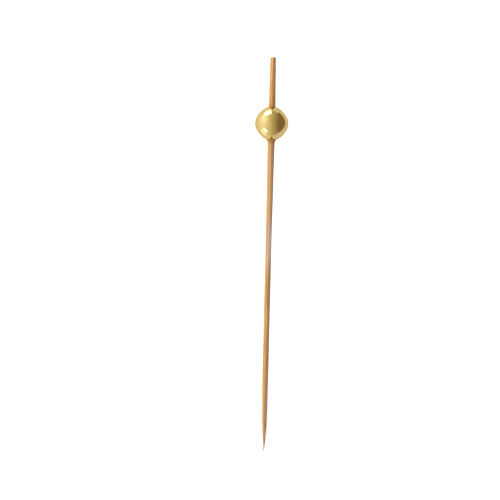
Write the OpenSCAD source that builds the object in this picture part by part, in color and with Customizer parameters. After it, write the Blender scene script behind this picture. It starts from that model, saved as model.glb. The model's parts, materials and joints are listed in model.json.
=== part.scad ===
// Cocktail pick: a slim bamboo stick with a round gold bead pushed down onto its thickest part.
// The stick is a round dowel that thins towards both ends. Flats are shaved along its neck, and
// its point is whittled, mostly from one side. The bead is bored through. It slides on from the
// head, jams where the stick is thickest, and a ring of glue is squeezed out below it.
// The pick lies on a table as it comes to rest: on the bead and on the shoulder of the point.

/* [Stick] */
// Length of the stick from its cut head to its tip
stick_l = 120; // [95:1:180]
// Diameter of the cut head
head_d = 1.74; // [1.2:0.02:1.9]
// Length of the bare neck between the cut head and the bead
neck_l = 15.1; // [8:0.1:25]
// Diameter of the neck where it goes into the bead
neck_d = 2.12; // [1.9:0.02:2.14]
// Diameter where the bead jams, the thickest part of the stick
seat_d = 2.14; // [2.14:0.02:2.6]
// Diameter of the slim, even part of the shaft
shaft_d = 1.82; // [1.72:0.02:2]
// Length below the bead over which the shaft thins to its slim part
thinning_l = 30; // [15:1:60]
// Width of the edge broken off round the cut head
head_break = 0.06; // [0.02:0.01:0.15]

/* [Neck flats] */
// Depth of the shaved flats at the cut head
neck_flat_depth = 0.14; // [0.05:0.01:0.22]
// Length of bare neck left whole between the flats and the bead
neck_whole_l = 1.2; // [0.2:0.1:4]

/* [Point] */
// Length of the whittled end, from the first long cut to the tip
whittled_l = 26; // [14:0.5:30]
// Length of the point itself, from its shoulder to the tip
point_l = 10; // [5:0.1:13]
// Diameter of the shoulder where the point begins
shoulder_d = 1.7; // [1.3:0.02:1.72]
// Diameter of the blunt tip
tip_d = 0.3; // [0.2:0.02:0.4]
// How far the point bulges past a straight cone, where 1 is a straight cone
point_belly = 1.7; // [1:0.1:2.2]
// Depth at the shoulder of the deepest long cut
long_cut_depth = 0.07; // [0.03:0.01:0.12]
// Depth of the short cuts at the middle of the point
short_cut_depth = 0.06; // [0.02:0.01:0.08]
// How far the slanting cut passes the middle of the tip
slant_past = 0.02; // [0:0.01:0.05]

/* [Bead] */
// Diameter of the bead at its middle
bead_d = 10.15; // [6:0.05:14]
// How far each end of the bead is drawn out past a true ball
bead_draw = 0.12; // [0:0.02:0.4]
// How far the bead's shoulders fall inside a true ball
bead_fall = 0.2; // [0:0.02:0.3]
// Gap between the bore and the stick where the bead jams
bore_clearance = 0.01; // [0.01:0.01:0.05]
// Radius of the rounded edge at each mouth of the bore
mouth_round = 0.12; // [0.05:0.01:0.25]

/* [Glue] */
// Length of the glue ring below the bead
glue_l = 1.4; // [0.6:0.05:2]
// Width of the band of bead that the glue wets
glue_w = 0.32; // [0.2:0.02:0.6]

/* [Hidden] */
$fn = 96;
bead_steps = 26;
mouth_steps = 4;
point_steps = 12;
glue_steps = 6;
glue_curve = 1.6;
search_rounds = 40;
steepest_lean = 30;
cutter = 4;

// Clock angles run round the stick as seen from its head, with 0 on top and 90 towards +Y
neck_flats = [-48, 42, 100];
// Each long cut: its clock angle, its share of the length and its share of the depth
long_cuts = [[-78, 1, 1], [40, 0.8, 0.5], [115, 0.9, 0.5], [-140, 0.75, 0.5]];
short_cuts = [8, 62, 118, -128];
slanting_cut = -78;

head_r = head_d / 2;
face_r = head_r - head_break;
seat_r = seat_d / 2;
shaft_r = shaft_d / 2;
shoulder_r = shoulder_d / 2;
tip_r = tip_d / 2;
bead_r = bead_d / 2;
bore_r = seat_r + bore_clearance;
mouth_r = bore_r + mouth_round;
wet_r = mouth_r + glue_w;

// A point on the bead's skin at an angle up from its middle, as [distance from the axis, height]
function bead_reach_at(angle) =
    bead_r - bead_fall * pow(sin(2 * angle), 2) + bead_draw * pow(sin(angle), 2);
function bead_skin(angle) = bead_reach_at(angle) * [cos(angle), sin(angle)];
// The angle up from its middle at which the bead's skin is a distance r from the axis
function bead_angle(r, guess = 75, rounds = search_rounds) =
    rounds == 0 ? guess : bead_angle(r, acos(r / bead_reach_at(guess)), rounds - 1);

mouth_angle = bead_angle(mouth_r);
mouth_h = bead_skin(mouth_angle).y;

// Places along the stick are distances from its cut head
bead_at = neck_l + mouth_h;
seat_at = bead_at + mouth_h;
slim_at = seat_at + thinning_l;
whittled_at = stick_l - whittled_l;
shoulder_at = stick_l - point_l;

// The stick's outline, as [distance from the cut head, radius]
point_outline = [for (i = [0 : point_steps])
    let (gone = i / point_steps, belly = 1 - pow(gone, point_belly))
    [shoulder_at + gone * point_l, tip_r + (shoulder_r - tip_r) * belly]];
stick_outline = concat(
    [[0, face_r], [head_break, head_r], [neck_l, neck_d / 2], [seat_at, seat_r]],
    [[slim_at, shaft_r], [whittled_at, shaft_r]],
    point_outline
);
function stick_radius(at) = lookup(at, stick_outline);

// Half of the bead's outline, from its middle over the rounded mouth into the bore
bead_half = concat(
    [for (i = [0 : bead_steps]) bead_skin(mouth_angle * i / bead_steps)],
    [for (i = [1 : mouth_steps])
        let (turn = 90 * i / mouth_steps)
        [mouth_r - mouth_round * sin(turn), mouth_h - mouth_round * (1 - cos(turn))]]
);
bead_other_half = [for (i = [len(bead_half) - 1 : -1 : 1]) [bead_half[i].x, -bead_half[i].y]];

// How far the bead reaches below its middle when the stick leans by an angle
function bead_depth(lean) = max([for (p = bead_half) p.x * cos(lean) + p.y * sin(lean)]);
// How far the stick beyond the bead reaches below the bead's middle at that lean
function stick_depth(lean) = max([for (p = stick_outline)
    if (p.x > seat_at) (p.x - bead_at) * sin(lean) + p.y * cos(lean)]);
// The lean at which both reach equally far, between two leans
function settle(low, high, rounds = search_rounds) =
    let (middle = (low + high) / 2)
    rounds == 0 ? middle
        : stick_depth(middle) < bead_depth(middle) ? settle(middle, high, rounds - 1)
        : settle(low, middle, rounds - 1);
lean = settle(0, steepest_lean);
// The bead's place along X puts the middle of the whole length at the origin
bead_x = ((2 * bead_at - stick_l) * cos(lean) + (face_r - tip_r) * sin(lean)) / 2;

// Lays down what is made along +Z from the cut head, with the bead and the shoulder at Z = 0
module laid_down() {
    translate([bead_x, 0, bead_depth(lean)])
        rotate([0, 90 + lean, 0])
            translate([0, 0, -bead_at])
                children();
}

// A block whose face lies at a radius of from_r at from_at and to_r at to_at, to cut a flat with
module flat_cutter(clock, from_at, from_r, to_at, to_r) {
    slope = atan2(to_r - from_r, to_at - from_at);
    run = norm([to_at - from_at, to_r - from_r]);
    rotate([0, 0, 180 - clock])
        translate([from_r, 0, from_at])
            rotate([0, slope, 0])
                translate([0, -cutter / 2, -cutter])
                    cube([cutter, cutter, run + 2 * cutter]);
}

module neck_flat(clock) {
    flat_end = neck_l - neck_whole_l;
    flat_cutter(clock, 0, head_r - neck_flat_depth, flat_end, stick_radius(flat_end));
}

module long_cut(clock, length_share, depth_share) {
    cut_at = shoulder_at - (whittled_l - point_l) * length_share;
    cut_r = shoulder_r - long_cut_depth * depth_share;
    flat_cutter(clock, cut_at, stick_radius(cut_at), shoulder_at, cut_r);
}

module short_cut(clock) {
    middle_r = stick_radius(stick_l - point_l / 2) - short_cut_depth;
    half_drop = (shoulder_r - tip_r) / 2;
    flat_cutter(clock, shoulder_at, middle_r + half_drop, stick_l, middle_r - half_drop);
}

module bamboo_stick() {
    color([0.80, 0.59, 0.36])
        laid_down()
            difference() {
                rotate_extrude()
                    polygon(concat(
                        [[0, 0]],
                        [for (p = stick_outline) [p.y, p.x]],
                        [[0, stick_l]]
                    ));
                for (clock = neck_flats) neck_flat(clock);
                for (cut = long_cuts) long_cut(cut[0], cut[1], cut[2]);
                for (clock = short_cuts) short_cut(clock);
                flat_cutter(slanting_cut, shoulder_at, shoulder_r - long_cut_depth, stick_l, -slant_past);
            }
}

module gold_bead() {
    color([0.85, 0.72, 0.42])
        laid_down()
            translate([0, 0, bead_at])
                rotate_extrude()
                    polygon(concat(bead_other_half, bead_half));
}

module glue_ring() {
    glue_end = seat_at + glue_l;
    end_r = stick_radius(glue_end);
    color([0.82, 0.68, 0.42, 0.8])
        laid_down()
            rotate_extrude()
                polygon(concat(
                    [[seat_r, seat_at], [mouth_r, seat_at]],
                    [for (r = [(mouth_r + wet_r) / 2, wet_r]) [r, bead_at + bead_skin(bead_angle(r)).y]],
                    [for (i = [1 : glue_steps])
                        let (left = 1 - i / glue_steps)
                        [end_r + (wet_r - end_r) * pow(left, glue_curve), glue_end - left * glue_l]]
                ));
}

bamboo_stick();
gold_bead();
glue_ring();
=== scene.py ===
"""A bamboo cocktail pick with a gold bead, seen from straight above as it lies on white paper."""
import json
import math

import bmesh
import bpy
from mathutils import Matrix, Vector, noise


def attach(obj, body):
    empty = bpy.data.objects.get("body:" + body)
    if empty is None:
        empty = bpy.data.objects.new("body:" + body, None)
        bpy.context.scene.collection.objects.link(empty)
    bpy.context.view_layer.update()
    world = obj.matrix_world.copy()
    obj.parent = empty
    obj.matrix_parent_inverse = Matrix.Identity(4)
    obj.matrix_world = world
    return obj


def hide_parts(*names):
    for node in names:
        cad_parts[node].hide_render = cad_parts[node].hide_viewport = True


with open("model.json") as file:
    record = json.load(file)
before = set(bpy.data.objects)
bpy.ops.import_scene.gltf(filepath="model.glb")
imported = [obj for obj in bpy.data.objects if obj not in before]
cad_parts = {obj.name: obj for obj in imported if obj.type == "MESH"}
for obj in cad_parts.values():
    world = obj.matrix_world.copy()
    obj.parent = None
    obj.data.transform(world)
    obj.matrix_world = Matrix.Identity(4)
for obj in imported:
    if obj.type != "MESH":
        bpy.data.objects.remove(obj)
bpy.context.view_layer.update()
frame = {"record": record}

MM = 0.001

# The stick, in millimetres: places are distances from the cut head
STICK_L = 120.0
NECK_L = 15.1
THINNING_L = 30.0
WHITTLED_L = 26.0
POINT_L = 10.0
HEAD_BREAK = 0.06
HEAD_R = 1.74 / 2
NECK_R = 2.12 / 2
SEAT_R = 2.14 / 2
SHAFT_R = 1.82 / 2
SHOULDER_R = 1.7 / 2
TIP_R = 0.3 / 2
POINT_BELLY = 1.7
NECK_WHOLE_L = 1.2
LONG_CUT_DEPTH = 0.07
SHORT_CUT_DEPTH = 0.06
SLANT_PAST = 0.02

# Clock angles, in degrees, run round the stick as seen from its head: 0 is on top, 90 towards +Y

# Each neck flat: its clock angle and its depth at the cut head
NECK_FLATS = ((-40, 0.24), (20, 0.09), (76, 0.11))
# Each long cut: its clock angle, its share of the length and its share of the depth
LONG_CUTS = ((-78, 1, 1), (40, 0.8, 0.5), (115, 0.9, 0.5), (-140, 0.75, 0.5))
SHORT_CUTS = (8, 62, 118, -128)
SLANTING_CUT = -78

# The die that rounds the stick leaves faint flats all along it, a share of the radius deep
DIE_FLATS = 9
DIE_FLAT_SHARE = 0.045
DIE_FLAT_CLOCK = 18
# How widely the arrises are rounded between the die's flats and between the knife's cuts
DIE_ARRIS = 0.02
KNIFE_ARRIS = 0.012
# A cut shaves the skin that faces it, down to this cosine, and leaves this much round the axis
LEAST_FACING = 0.2
LEAST_R = 0.004
# A cut as deep as this shows nothing but the inner wood
SKIN_DEPTH = 0.03
# The stick's radius wavers by this share, in so many waves to a millimetre round and along it
UNEVEN_SHARE = 0.008
UNEVEN_ROUND = 3
UNEVEN_ALONG = 0.07

# Distance between the stick's rings on its point, on its other cut lengths and on its shaft
POINT_STEP, CUT_STEP, SHAFT_STEP = 0.12, 0.3, 0.6
# How many sides each piece's rings have
STICK_SIDES = 144
BEAD_SIDES = 192
GLUE_SIDES = 96

# The bead and the glue, in millimetres
BEAD_R = 10.15 / 2
BEAD_DRAW = 0.12
BEAD_FALL = 0.2
BORE_CLEARANCE = 0.01
MOUTH_ROUND = 0.12
GLUE_L = 1.4
GLUE_W = 0.32
GLUE_CURVE = 1.6
# How deep the glue's hidden faces sink into what it wets
GLUE_SUNK = 0.015

# Where the head's and the tip's middles lie in the photograph, in pixels of its 500 x 500 frame
HEAD_PIXEL = (273.3, 57.2)
TIP_PIXEL = (263.35, 450.9)
FRAME_PIXELS = 500

MOUNTS = {mount["name"]: mount for mount in frame["record"]["mounts"]}
HEAD = Vector(MOUNTS["head_end"]["pos_m"])
ALONG = Vector(MOUNTS["food_shaft"]["axis"]).normalized()
ACROSS = Vector((0, 1, 0))
DOWN = ACROSS.cross(ALONG)
LEAN = math.atan2(-ALONG.z, ALONG.x)

# The studio's soft boxes: distance from the bead in metres, azimuth and elevation in degrees,
# width and height in metres, and the radiance that the face shows
SOFT_BOXES = {
    "head_panel": (0.6, 110, 6.5, 0.35, 0.22, 4.2),
    "strip_light": (0.6, 231, 14, 0.28, 0.12, 4.6),
    "left_soft_box": (0.8, 148, 28, 0.62, 0.66, 0.24),
    "dim_panel": (0.6, 139, 9, 0.22, 0.14, 0.5),
}
# Radiance of the room as the pick sees it, in linear red, green and blue
LEFT_GLOW = (1.24, 1.24, 1.2, 1)
MIDDLE_GLOW = (0.69, 0.66, 0.44, 1)
RIGHT_GLOW = (0.27, 0.215, 0.13, 1)


def bead_skin(angle):
    """A point on the bead's skin at an angle up from its middle, as (radius, height)."""
    reach = BEAD_R - BEAD_FALL * math.sin(2 * angle) ** 2 + BEAD_DRAW * math.sin(angle) ** 2
    return reach * math.cos(angle), reach * math.sin(angle)


def bead_angle(r):
    """The angle up from its middle at which the bead's skin is a distance r from the axis."""
    low, high = 0.0, math.pi / 2
    while high - low > 1e-9:
        middle = (low + high) / 2
        low, high = (middle, high) if bead_skin(middle)[0] > r else (low, middle)
    return low


BORE_R = SEAT_R + BORE_CLEARANCE
MOUTH_R = BORE_R + MOUTH_ROUND
MOUTH_ANGLE = bead_angle(MOUTH_R)
MOUTH_H = bead_skin(MOUTH_ANGLE)[1]
WET_R = MOUTH_R + GLUE_W
BEAD_AT = NECK_L + MOUTH_H
SEAT_AT = BEAD_AT + MOUTH_H
WHITTLED_AT = STICK_L - WHITTLED_L
SHOULDER_AT = STICK_L - POINT_L
OUTLINE = (
    (0, HEAD_R - HEAD_BREAK), (HEAD_BREAK, HEAD_R), (NECK_L, NECK_R), (SEAT_AT, SEAT_R),
    (SEAT_AT + THINNING_L, SHAFT_R), (WHITTLED_AT, SHAFT_R), (SHOULDER_AT, SHOULDER_R),
)


def stick_radius(at):
    """The stick's radius before any flat is cut, at a distance from its head."""
    if at >= SHOULDER_AT:
        gone = min((at - SHOULDER_AT) / POINT_L, 1)
        return TIP_R + (SHOULDER_R - TIP_R) * (1 - gone ** POINT_BELLY)
    for (start, start_r), (end, end_r) in zip(OUTLINE, OUTLINE[1:]):
        if at <= end:
            return start_r + (end_r - start_r) * (at - start) / (end - start)


def cut_planes():
    """Each cut as (turn, a place, its radius there, its gain in radius for each millimetre)."""
    def plane(clock, from_at, from_r, to_at, to_r):
        return math.radians(clock), from_at, from_r, (to_r - from_r) / (to_at - from_at)

    planes = []
    flat_end = NECK_L - NECK_WHOLE_L
    for clock, depth in NECK_FLATS:
        planes.append(plane(clock, 0, HEAD_R - depth, flat_end, stick_radius(flat_end)))
    for clock, length_share, depth_share in LONG_CUTS:
        cut_at = SHOULDER_AT - (WHITTLED_L - POINT_L) * length_share
        cut_r = SHOULDER_R - LONG_CUT_DEPTH * depth_share
        planes.append(plane(clock, cut_at, stick_radius(cut_at), SHOULDER_AT, cut_r))
    middle_r = stick_radius(STICK_L - POINT_L / 2) - SHORT_CUT_DEPTH
    half_drop = (SHOULDER_R - TIP_R) / 2
    high_r, low_r = middle_r + half_drop, middle_r - half_drop
    for clock in SHORT_CUTS:
        planes.append(plane(clock, SHOULDER_AT, high_r, STICK_L, low_r))
    slant_r = SHOULDER_R - LONG_CUT_DEPTH
    planes.append(plane(SLANTING_CUT, SHOULDER_AT, slant_r, STICK_L, -SLANT_PAST))
    return planes


def srgb(code):
    """An sRGB hex colour as linear red, green and blue, and an alpha of 1."""
    channels = [int(code[i:i + 2], 16) / 255 for i in (1, 3, 5)]
    linear = [c / 12.92 if c <= 0.04045 else ((c + 0.055) / 1.055) ** 2.4 for c in channels]
    return (*linear, 1.0)


def node(tree, kind, inputs=None, **settings):
    """Adds a shader node, sets its properties, and fills or links its inputs."""
    made = tree.nodes.new("ShaderNode" + kind)
    for name, value in settings.items():
        setattr(made, name, value)
    for socket, value in (inputs or {}).items():
        if isinstance(value, bpy.types.NodeSocket):
            tree.links.new(value, made.inputs[socket])
        else:
            made.inputs[socket].default_value = value
    return made


# A Mix node's sockets go by number, because those for numbers and for colours share their names
FACTOR, NUMBER_A, NUMBER_B, COLOUR_A, COLOUR_B = 0, 2, 3, 6, 7
NUMBER_OUT, COLOUR_OUT = 0, 2


def empty_material(name):
    """A material with no nodes but its output, as (material, node tree, output node)."""
    material = bpy.data.materials.new(name)
    material.use_nodes = True
    material.node_tree.nodes.clear()
    return material, material.node_tree, node(material.node_tree, "OutputMaterial")


def bamboo():
    """Bamboo, split, turned round and sanded dry, and darkened by steam to a warm tan. Dark
    fibre bundles run through pale pith, so the sides show long brown streaks and the cut ends
    show dots. Painted shade makes the side away from the lamps greyer and darker, and browns
    the neck, the right edge below the bead and the strip that is left whole between the long
    cuts. The fresh flats of the point are paler, because they reach the inner wood. Painted
    sheen and highlights pale the stick most on its right about halfway along, and less on the
    neck, by the head and on the point. The dry fibres give a soft sheen and no gloss."""
    material, tree, out = empty_material("steamed_bamboo")
    place = node(tree, "TexCoord").outputs["Object"]

    # Each pattern's length along the fibres and width across them, in millimetres. Bundles lie
    # about 0.4 mm apart and show for 10 to 20 mm before they leave the surface. Single fibres
    # are some 0.02 mm thick, and are drawn at 0.09 mm so that they show. The tone drifts over
    # one or two millimetres across and a few centimetres along.
    fibre_place = {}
    for pattern, length, width in (("bundles", 18, 0.4), ("fibres", 7, 0.09), ("drift", 30, 0.6)):
        fibre_place[pattern] = node(tree, "Mapping", {
            "Vector": place, "Location": HEAD, "Rotation": (0, LEAN, 0),
            "Scale": (length * MM, width * MM, width * MM),
        }, vector_type="TEXTURE").outputs["Vector"]
    bundles = node(tree, "TexVoronoi", {
        "Vector": fibre_place["bundles"], "Scale": 1.0, "Randomness": 1.0,
    }).outputs["Distance"]
    streaks = node(tree, "MapRange", {
        "Value": bundles, "From Min": 0.42, "From Max": 0.22,
    }, interpolation_type="SMOOTHSTEP").outputs["Result"]
    fibres = node(tree, "TexNoise", {
        "Vector": fibre_place["fibres"], "Scale": 1.0, "Detail": 3.0,
    }).outputs["Fac"]
    drift = node(tree, "TexNoise", {
        "Vector": fibre_place["drift"], "Scale": 1.0, "Detail": 2.0,
    }).outputs["Fac"]
    drift = node(tree, "MapRange", {
        "Value": drift, "From Min": 0.35, "From Max": 0.65,
    }).outputs["Result"]

    fine_grain = node(tree, "MapRange", {
        "Value": fibres, "From Min": 0.35, "From Max": 0.75, "To Max": 0.35,
    }).outputs["Result"]
    half_streaks = node(tree, "Math", {
        0: streaks, 1: 0.5,
    }, operation="MULTIPLY").outputs["Value"]
    # The pale fibres of the painted sheen and highlights
    painted_sheen_fibres = node(tree, "Mix", {
        FACTOR: fibres, COLOUR_A: srgb("#F6DDC6"), COLOUR_B: srgb("#D8B294"),
    }, data_type="RGBA").outputs[COLOUR_OUT]
    # The layers hold the fresh cuts, the painted shade and the painted sheen
    skin = {}
    for layer in ("painted_shade_grey", "painted_shade_brown", "fresh_cut", "painted_sheen"):
        skin[layer] = node(tree, "Attribute", attribute_name=layer).outputs["Fac"]

    # Each tone lies over the ones before it, as far as its share says
    colour = srgb("#F0B66C")
    for share, tone in (
        (drift, srgb("#DA9F5C")),
        # Painted shade: greyer and darker on the side away from the lamps
        (skin["painted_shade_grey"], srgb("#C29C82")),
        # Painted shade: browner on the neck, on the right edge below the bead and on a strip of the
        # point
        (skin["painted_shade_brown"], srgb("#CC764C")),
        (skin["fresh_cut"], srgb("#F4D3A2")),
        (fine_grain, srgb("#A8703A")),
        (half_streaks, srgb("#96582A")),
        # Painted sheen and highlights: paler fibres
        (skin["painted_sheen"], painted_sheen_fibres),
    ):
        colour = node(tree, "Mix", {
            FACTOR: share, COLOUR_A: colour, COLOUR_B: tone,
        }, data_type="RGBA").outputs[COLOUR_OUT]

    # Bundles and fibres lie a few thousandths of a millimetre lower than the pith
    height = node(tree, "Math", {
        0: streaks, 1: 0.6, 2: fibres,
    }, operation="MULTIPLY_ADD").outputs["Value"]
    bump = node(tree, "Bump", {
        "Height": height, "Strength": 0.5, "Distance": 0.012 * MM,
    }, invert=True).outputs["Normal"]
    rough = node(tree, "MapRange", {
        "Value": fibres, "To Min": 0.48, "To Max": 0.62,
    }).outputs["Result"]
    shader = node(tree, "BsdfPrincipled", {
        "Base Color": colour, "Roughness": rough, "Normal": bump, "IOR": 1.45,
        "Specular IOR Level": 0.3,
    })
    tree.links.new(shader.outputs["BSDF"], out.inputs["Surface"])
    return material


def plated_gold():
    """Plastic, moulded smooth and plated in a vacuum with bright metal under a thin gold
    lacquer. It mirrors the studio almost sharply. The skin is not quite even, so that long
    reflections waver."""
    material, tree, out = empty_material("vacuum_plated_gold")
    place = node(tree, "TexCoord").outputs["Object"]
    # The mould's unevenness is some 2 mm wide, and a few thousandths of a millimetre high
    waver = node(tree, "TexNoise", {
        "Vector": place, "Scale": 1 / (2.2 * MM), "Detail": 1.0,
    }).outputs["Fac"]
    bump = node(tree, "Bump", {
        "Height": waver, "Strength": 0.35, "Distance": 0.02 * MM,
    }).outputs["Normal"]
    # The lacquer's haze comes and goes over less than a millimetre
    haze = node(tree, "TexNoise", {
        "Vector": place, "Scale": 1 / (0.7 * MM), "Detail": 3.0,
    }).outputs["Fac"]
    rough = node(tree, "MapRange", {
        "Value": haze, "From Min": 0.3, "From Max": 0.7, "To Min": 0.05, "To Max": 0.1,
    }).outputs["Result"]
    shader = node(tree, "BsdfPrincipled", {
        "Base Color": srgb("#DDC283"), "Metallic": 1.0, "Specular Tint": srgb("#E6DCC4"),
        "Roughness": rough, "Normal": bump,
    })
    tree.links.new(shader.outputs["BSDF"], out.inputs["Surface"])
    return material


def dried_glue():
    """Clear glue, squeezed out wet and dried to amber. It is smooth and glassy, and shows the
    wood through it. Where it lies thick by the bead, its amber is partly painted shade."""
    material, tree, out = empty_material("dried_glue")
    place = node(tree, "TexCoord").outputs["Object"]
    ripple = node(tree, "TexNoise", {
        "Vector": place, "Scale": 1 / (0.5 * MM), "Detail": 1.0,
    }).outputs["Fac"]
    bump = node(tree, "Bump", {
        "Height": ripple, "Strength": 0.4, "Distance": 0.03 * MM,
    }).outputs["Normal"]
    # The thicker the glue lies, the less wood shows through. Towards the bead this darkening is
    # partly painted shade
    depth = node(tree, "Attribute", attribute_name="depth").outputs["Fac"]
    cover_and_painted_shade = node(tree, "MapRange", {
        "Value": depth, "To Min": 0.02, "To Max": 0.9,
    }).outputs["Result"]
    shader = node(tree, "BsdfPrincipled", {
        "Base Color": srgb("#D09A54"), "Roughness": 0.15, "IOR": 1.47, "Alpha": cover_and_painted_shade,
        "Normal": bump,
    })
    tree.links.new(shader.outputs["BSDF"], out.inputs["Surface"])
    return material


def laid_down(at):
    """The matrix that lays millimetres, made along +Z from a place on the stick, on the table."""
    start = HEAD + ALONG * at * MM
    turn = Matrix((DOWN, ACROSS, ALONG)).transposed().to_4x4()
    return Matrix.Translation(start) @ turn @ Matrix.Scale(MM, 4)


def spun(profile, sides, closed=False):
    """A bmesh of a profile of (distance from the axis, height), spun once round the Z axis."""
    bm = bmesh.new()
    points = [bm.verts.new((r, 0, z)) for r, z in profile]
    edges = [bm.edges.new(pair) for pair in zip(points, points[1:])]
    if closed:
        edges.append(bm.edges.new((points[-1], points[0])))
    bmesh.ops.spin(bm, geom=points + edges, cent=(0, 0, 0), axis=(0, 0, 1), dvec=(0, 0, 0),
                   angle=math.tau, steps=sides, use_merge=True, use_duplicate=False)
    bmesh.ops.remove_doubles(bm, verts=bm.verts, dist=1e-5)
    bmesh.ops.recalc_face_normals(bm, faces=bm.faces)
    return bm


def piece_from(bm, name, material, at, stands_for):
    """Lays a bmesh down on the table as a smooth piece that stands for a CAD node."""
    bmesh.ops.transform(bm, matrix=laid_down(at), verts=bm.verts)
    mesh = bpy.data.meshes.new(name)
    bm.to_mesh(mesh)
    bm.free()
    mesh.shade_smooth()
    mesh.materials.append(material)
    piece = bpy.data.objects.new(name, mesh)
    bpy.context.collection.objects.link(piece)
    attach(piece, "root")
    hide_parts(stands_for)


def smooth_step(value, start, end):
    """Rises smoothly from 0 at start to 1 at end."""
    share = min(max((value - start) / (end - start), 0), 1)
    return share * share * (3 - 2 * share)


def band(value, start, full, fading, end):
    """Rises smoothly from 0 at start to 1 at full, and falls from 1 at fading to 0 at end."""
    return smooth_step(value, start, full) * smooth_step(value, end, fading)


def painted_sheen_share(at, clock):
    """How much painted sheen and highlight pale the stick, from 0 to 1: most on its right about
    halfway along, and less near its ends."""
    right = smooth_step(clock, -25, 5)
    left = smooth_step(clock, -15, -45)
    neck = 0.2 * band(at, 3, 6, 14, 15) * left
    arris = 0.4 * band(at, 1, 3, 5, 8) * band(clock, -28, -20, -6, 2)
    middle = 0.3 * smooth_step(at, 24, 32) + 0.7 * smooth_step(at, 46, 55)
    middle *= smooth_step(at, 69, 58) * (0.25 + 0.7 * right)
    shoulder = 0.25 * band(at, 92, 98, 108, 114) * right
    point = 0.5 * band(at, 102, 108, 110, 114) * left
    upper_side = smooth_step(abs(clock), 160, 110)
    return upper_side * max(neck, arris, middle, shoulder, point)


def painted_shade_brown_share(at, clock):
    """How much painted shade browns the wood, from 0 to 1: along the right edge above and below
    the bead, less on the neck's flat beside it, and in the strip that is left whole between the
    long cuts."""
    if at > BEAD_AT:
        edge = 0.8 * smooth_step(at, 55, 30) * band(clock, 26, 50, 100, 130)
        strip = 0.4 * band(at, 93, 97, 109, 113) * band(clock, -32, -22, -6, 4)
        return max(edge, strip)
    flat = (0.45 - 0.3 * smooth_step(at, 4, 9)) * band(clock, -10, 0, 36, 50)
    edge = (0.4 + 0.6 * smooth_step(at, 1, 6)) * band(clock, 36, 50, 70, 105)
    return flat + edge


def stations():
    """Places along the stick for its rings: close together where the form changes fast."""
    places = [0.0, HEAD_BREAK / 2, HEAD_BREAK, 3 * HEAD_BREAK]
    while places[-1] < STICK_L - POINT_STEP / 2:
        at = places[-1]
        on_cuts = at < NECK_L or at > WHITTLED_AT
        step = POINT_STEP if at > SHOULDER_AT else CUT_STEP if on_cuts else SHAFT_STEP
        places.append(min(at + step, STICK_L))
    return places


def shaved(radius, flat, arris):
    """The lesser of a radius and a flat's, with the arris between them rounded."""
    blend = max(arris - abs(radius - flat), 0) / arris
    return min(radius, flat) - blend * blend * arris / 4


def die_rounded(radius, turn):
    """A radius of the stick once the die has left its faint flats."""
    rounded = radius
    for i in range(DIE_FLATS):
        facing = math.cos(turn - math.radians(DIE_FLAT_CLOCK + i * 360 / DIE_FLATS))
        if facing > LEAST_FACING:
            rounded = shaved(rounded, radius * (1 - DIE_FLAT_SHARE) / facing, DIE_ARRIS)
    return rounded


def knife_cut(radius, at, turn, planes):
    """A radius of the stick once every cut is made."""
    for cut_turn, from_at, from_r, gain in planes:
        facing = math.cos(turn - cut_turn)
        if facing > LEAST_FACING:
            flat_r = max(from_r + gain * (at - from_at), LEAST_R)
            radius = shaved(radius, flat_r / facing, KNIFE_ARRIS)
    return radius


def make_stick():
    """The stick, spun as a round blank with closely spaced rings, and then flattened by the die
    and whittled. Four attributes tell the bamboo where its cuts are fresh, and where it has
    painted shade and painted sheen."""
    face_r = stick_radius(0)
    profile = [(face_r * share, 0.0) for share in (0.0, 0.35, 0.7)]
    profile += [(stick_radius(at), at) for at in stations()] + [(0.0, STICK_L)]
    bm = spun(profile, STICK_SIDES)
    fresh_cut = bm.verts.layers.float.new("fresh_cut")
    painted_shade_grey = bm.verts.layers.float.new("painted_shade_grey")
    painted_sheen = bm.verts.layers.float.new("painted_sheen")
    painted_shade_brown = bm.verts.layers.float.new("painted_shade_brown")
    planes = cut_planes()
    for vert in bm.verts:
        if math.hypot(vert.co.x, vert.co.y) < 1e-6:
            continue
        at = vert.co.z
        turn = math.atan2(vert.co.y, -vert.co.x)
        clock = math.degrees(turn)
        whole = stick_radius(at)
        rounded = die_rounded(whole, turn)
        kept = knife_cut(rounded, at, turn, planes)
        whittled = smooth_step(at, WHITTLED_AT - 1, WHITTLED_AT)
        vert[fresh_cut] = whittled * min(max((rounded - kept) / SKIN_DEPTH, 0), 1)
        if at > BEAD_AT:
            # Painted shade: the side away from the lamps is greyer and darker
            shaded_side = band(clock, 14, 44, 70, 105)
            vert[painted_shade_grey] = shaded_side * (1 - vert[fresh_cut]) * (1 - 0.5 * whittled)
        # Painted shade browns the neck, the right edge near the bead and a strip of the point
        vert[painted_shade_brown] = painted_shade_brown_share(at, clock)
        # Painted sheen and highlights pale the stick
        vert[painted_sheen] = painted_sheen_share(at, clock)
        waver = noise.noise((vert.co.x * UNEVEN_ROUND, vert.co.y * UNEVEN_ROUND, at * UNEVEN_ALONG))
        uneven = 1 + UNEVEN_SHARE * waver
        vert.co.x *= kept / whole * uneven
        vert.co.y *= kept / whole * uneven
    piece_from(bm, "whittled_stick", bamboo(), 0, "bamboo_stick")


def make_bead():
    """The bead, spun from its outline: skin, rounded mouths and bore."""
    skin_steps, mouth_steps = 72, 8
    half = [bead_skin(MOUTH_ANGLE * i / skin_steps) for i in range(skin_steps + 1)]
    for i in range(1, mouth_steps + 1):
        turn = math.pi / 2 * i / mouth_steps
        inward, outward = MOUTH_ROUND * math.sin(turn), MOUTH_ROUND * (1 - math.cos(turn))
        half.append((MOUTH_R - inward, MOUTH_H - outward))
    other_half = [(r, -z) for r, z in reversed(half[1:])]
    bm = spun(other_half + half, BEAD_SIDES, closed=True)
    piece_from(bm, "plated_bead", plated_gold(), BEAD_AT, "gold_bead")


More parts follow.
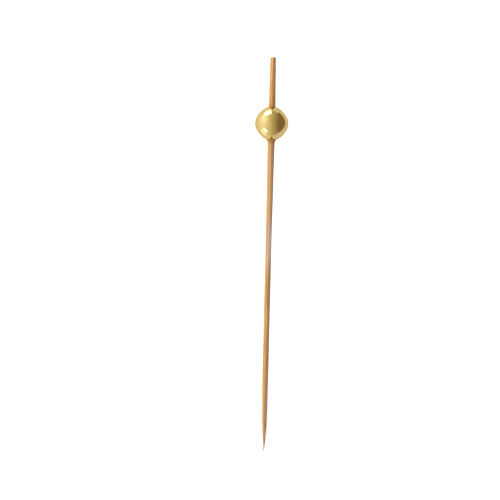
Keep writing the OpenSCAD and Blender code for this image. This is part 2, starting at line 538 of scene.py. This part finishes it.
def make_glue():
    """The ring of glue, spun from its hollow outline, with an uneven lower edge as it ran."""
    curve_steps = 14
    # The edge runs to this share of the glue's length, and wavers by this share round the stick
    mean_run, run_waver, waves = 0.92, 0.16, 1.3
    end_r = stick_radius(SEAT_AT + GLUE_L)
    outline = [(SEAT_R - GLUE_SUNK, -GLUE_SUNK)]
    for r in (MOUTH_R, MOUTH_R + GLUE_W / 2, WET_R):
        outline.append((r, bead_skin(bead_angle(r))[1] - MOUTH_H - GLUE_SUNK))
    for i in range(1, curve_steps + 1):
        left = 1 - i / curve_steps
        outline.append((end_r + (WET_R - end_r) * left ** GLUE_CURVE, (1 - left) * GLUE_L))
    outline.append((end_r - GLUE_SUNK, GLUE_L))
    bm = spun(outline, GLUE_SIDES, closed=True)
    depth = bm.verts.layers.float.new("depth")
    for vert in bm.verts:
        r = math.hypot(vert.co.x, vert.co.y)
        vert[depth] = min(max((r - SEAT_R) / (WET_R - SEAT_R), 0), 1)
        if vert.co.z > 0:
            turn = math.atan2(vert.co.y, vert.co.x)
            ran = noise.noise((waves * math.cos(turn), waves * math.sin(turn), 0.5))
            vert.co.z *= mean_run + run_waver * ran
    piece_from(bm, "glue_meniscus", dried_glue(), SEAT_AT, "glue_ring")


def stage_sheet(name, width, height, material):
    """A flat sheet round the origin that belongs to the stage."""
    bm = bmesh.new()
    bmesh.ops.create_grid(bm, x_segments=1, y_segments=1, size=0.5)
    bmesh.ops.scale(bm, vec=(width, height, 1), verts=bm.verts)
    mesh = bpy.data.meshes.new(name)
    bm.to_mesh(mesh)
    bm.free()
    mesh.materials.append(material)
    sheet = bpy.data.objects.new(name, mesh)
    bpy.context.collection.objects.link(sheet)
    return sheet


def make_floor():
    """White paper. The camera and the gold see it as white but for the pick's soft shadow."""
    material, tree, out = empty_material("white_paper")
    rays = node(tree, "LightPath").outputs
    mirrored = node(tree, "Math", {
        0: rays["Is Glossy Ray"], 1: rays["Is Transmission Ray"],
    }, operation="MAXIMUM").outputs["Value"]
    seen = node(tree, "Math", {
        0: rays["Is Camera Ray"], 1: mirrored,
    }, operation="MAXIMUM").outputs["Value"]
    paper = node(tree, "BsdfDiffuse", {"Color": srgb("#FFFFFF")}).outputs["BSDF"]
    # The sheet has a smooth glaze, so seen low from the bead it mirrors the lamps
    glaze = node(tree, "BsdfGlossy", {"Roughness": 0.18}).outputs["BSDF"]
    grazing = node(tree, "Fresnel", {"IOR": 1.45}).outputs["Fac"]
    glazed = node(tree, "Math", {
        0: grazing, 1: mirrored,
    }, operation="MULTIPLY").outputs["Value"]
    glazed_paper = node(tree, "MixShader", {0: glazed, 1: paper, 2: glaze}).outputs["Shader"]
    # What the lamps leave grey is lifted to white, more for the camera than in a mirror
    lift = node(tree, "Mix", {
        FACTOR: rays["Is Camera Ray"], NUMBER_A: 0.22, NUMBER_B: 0.65,
    }).outputs[NUMBER_OUT]
    glow = node(tree, "Emission", {"Color": srgb("#FFFFFF"), "Strength": lift}).outputs["Emission"]
    lifted = node(tree, "AddShader", {0: glazed_paper, 1: glow}).outputs["Shader"]
    both = node(tree, "MixShader", {0: seen, 1: paper, 2: lifted})
    tree.links.new(both.outputs["Shader"], out.inputs["Surface"])
    stage_sheet("paper_sheet", 6.0, 6.0, material)


# From above, the head points up the frame, so the frame's right is +Y and its top is -X
RIGHT, TOP = Vector((0, 1, 0)), Vector((-1, 0, 0))
BEAD = HEAD + ALONG * BEAD_AT * MM


def facing_bead(distance, azimuth, elevation):
    """The matrix of something that faces the bead. Azimuth 0 is the frame's right, 90 its top."""
    a, e = math.radians(azimuth), math.radians(elevation)
    level = RIGHT * math.cos(a) + TOP * math.sin(a)
    out = level * math.cos(e) + Vector((0, 0, math.sin(e)))
    turn = out.to_track_quat("Z", "Y").to_matrix().to_4x4()
    return Matrix.Translation(BEAD + out * distance) @ turn


def add_soft_box(name, distance, azimuth, elevation, width, height, radiance):
    """A soft box that faces the bead, with the radiance that its face shows."""
    lamp = bpy.data.lights.new(name, "AREA")
    lamp.shape = "RECTANGLE"
    lamp.size, lamp.size_y = width, height
    lamp.energy = radiance * math.pi * width * height
    light = bpy.data.objects.new(name, lamp)
    light.matrix_world = facing_bead(distance, azimuth, elevation)
    light.visible_camera = False
    bpy.context.collection.objects.link(light)


def make_flag():
    """A low dark card that stands close on the right and shows in the bead's mirror alone."""
    material, tree, out = empty_material("dark_flag")
    glow = node(tree, "Emission", {"Color": srgb("#8E8065"), "Strength": 1.0})
    tree.links.new(glow.outputs["Emission"], out.inputs["Surface"])
    flag = stage_sheet("dark_flag", 0.085, 0.013, material)
    # It stands 24 mm off and just clear of the paper, and reaches furthest down the frame
    flag.matrix_world = facing_bead(0.024, 20, 0) @ Matrix.Translation((-0.023, 0.0025, 0))
    flag.visible_camera = flag.visible_diffuse = False
    flag.visible_shadow = flag.visible_transmission = False


def make_studio():
    """A white room for the camera. The pick and its mirror see one that is bright on the left
    and dark on the right, with a panel beyond the head and a strip light low on the left."""
    world = bpy.data.worlds.new("studio")
    bpy.context.scene.world = world
    world.use_nodes = True
    tree = world.node_tree
    tree.nodes.clear()
    way = node(tree, "TexCoord").outputs["Generated"]
    side = node(tree, "VectorMath", {0: way, 1: RIGHT}, operation="DOT_PRODUCT").outputs["Value"]
    room = MIDDLE_GLOW
    for furthest, glow in ((-0.8, LEFT_GLOW), (0.75, RIGHT_GLOW)):
        share = node(tree, "MapRange", {
            "Value": side, "From Min": 0.0, "From Max": furthest,
        }).outputs["Result"]
        room = node(tree, "Mix", {
            FACTOR: share, COLOUR_A: room, COLOUR_B: glow,
        }, data_type="RGBA").outputs[COLOUR_OUT]
    rays = node(tree, "LightPath").outputs
    # Matt surfaces are lit by the room's greys, so that only the mirror shows its colours
    colour = node(tree, "RGBToBW", {"Color": room}).outputs["Val"]
    for ray, shown in (("Is Glossy Ray", room), ("Is Camera Ray", srgb("#FFFFFF"))):
        colour = node(tree, "Mix", {
            FACTOR: rays[ray], COLOUR_A: colour, COLOUR_B: shown,
        }, data_type="RGBA").outputs[COLOUR_OUT]
    sky = node(tree, "Background", {"Color": colour, "Strength": 1.0})
    out = node(tree, "OutputWorld")
    tree.links.new(sky.outputs["Background"], out.inputs["Surface"])

    for name, setting in SOFT_BOXES.items():
        add_soft_box(name, *setting)
    make_flag()


def make_camera():
    """A camera that looks straight down, placed so that the head and the tip fall on their
    pixels."""
    data = bpy.data.cameras.new("camera")
    data.lens = 200
    data.sensor_width = 36
    camera = bpy.data.objects.new("camera", data)
    bpy.context.collection.objects.link(camera)
    bpy.context.scene.camera = camera

    def ray(pixel):
        """Right and up for each metre of depth, as one complex number."""
        scale = data.sensor_width / data.lens / FRAME_PIXELS
        return complex(pixel[0] - FRAME_PIXELS / 2, FRAME_PIXELS / 2 - pixel[1]) * scale

    tip = HEAD + ALONG * STICK_L * MM
    head_ray, tip_ray = ray(HEAD_PIXEL), ray(TIP_PIXEL)
    apart = complex(HEAD.x - tip.x, HEAD.y - tip.y)
    height = abs(apart) / abs(head_ray - tip_ray)
    # The head and the tip lie at different heights, so the camera's is mended until both fit
    for _ in range(8):
        seen = head_ray * (height - HEAD.z) - tip_ray * (height - tip.z)
        height *= abs(apart) / abs(seen)
    turn = apart / seen
    turn /= abs(turn)
    centre = complex(HEAD.x, HEAD.y) - turn * head_ray * (height - HEAD.z)
    roll = Matrix.Rotation(math.atan2(turn.imag, turn.real), 4, "Z")
    camera.matrix_world = Matrix.Translation((centre.real, centre.imag, height)) @ roll


make_stick()
make_bead()
make_glue()
make_floor()
make_studio()
make_camera()
bpy.context.scene.view_settings.view_transform = "Standard"
